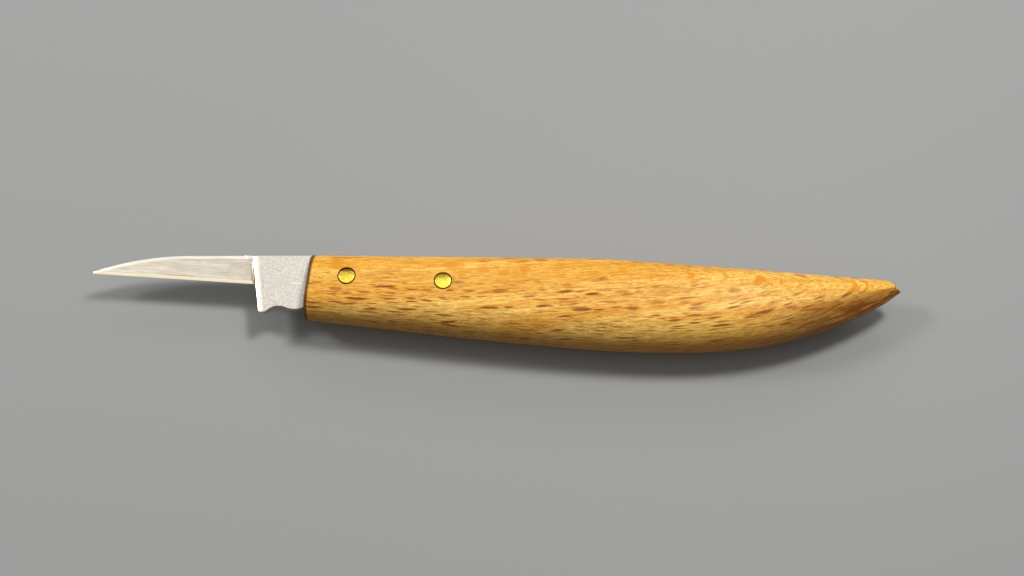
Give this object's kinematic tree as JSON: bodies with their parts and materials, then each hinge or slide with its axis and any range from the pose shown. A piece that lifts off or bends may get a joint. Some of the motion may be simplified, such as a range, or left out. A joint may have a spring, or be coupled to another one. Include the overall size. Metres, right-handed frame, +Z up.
{
  "type": "whittling knife",
  "caption": "Fixed-blade whittling knife with a short straight-edged blade, a deep square ricasso and a pointed beech handle pinned through the tang.",
  "frame": {"origin": "bottom centre of the knife's box, on the surface it lies on", "axes": "the knife lies on its side: +X from the blade's point to the butt, +Y towards the spine, +Z up out of the blade's side"},
  "size_m": [0.1846, 0.0228, 0.0168],
  "materials": {
    "blade_steel": "fine ground and matt, with polished edge and spine bevels",
    "handle_beech": "oiled steamed beech with ray flecks, satin, grimy at the butt",
    "pin_brass": "filed flush and scratched",
    "bedding_resin": "dark cured glue"
  },
  "bodies": {
    "root": {"blade": "blade_steel", "handle": "handle_beech", "front_pin": "pin_brass", "rear_pin": "pin_brass", "tang_bedding": "bedding_resin"}
  },
  "joints": []
}
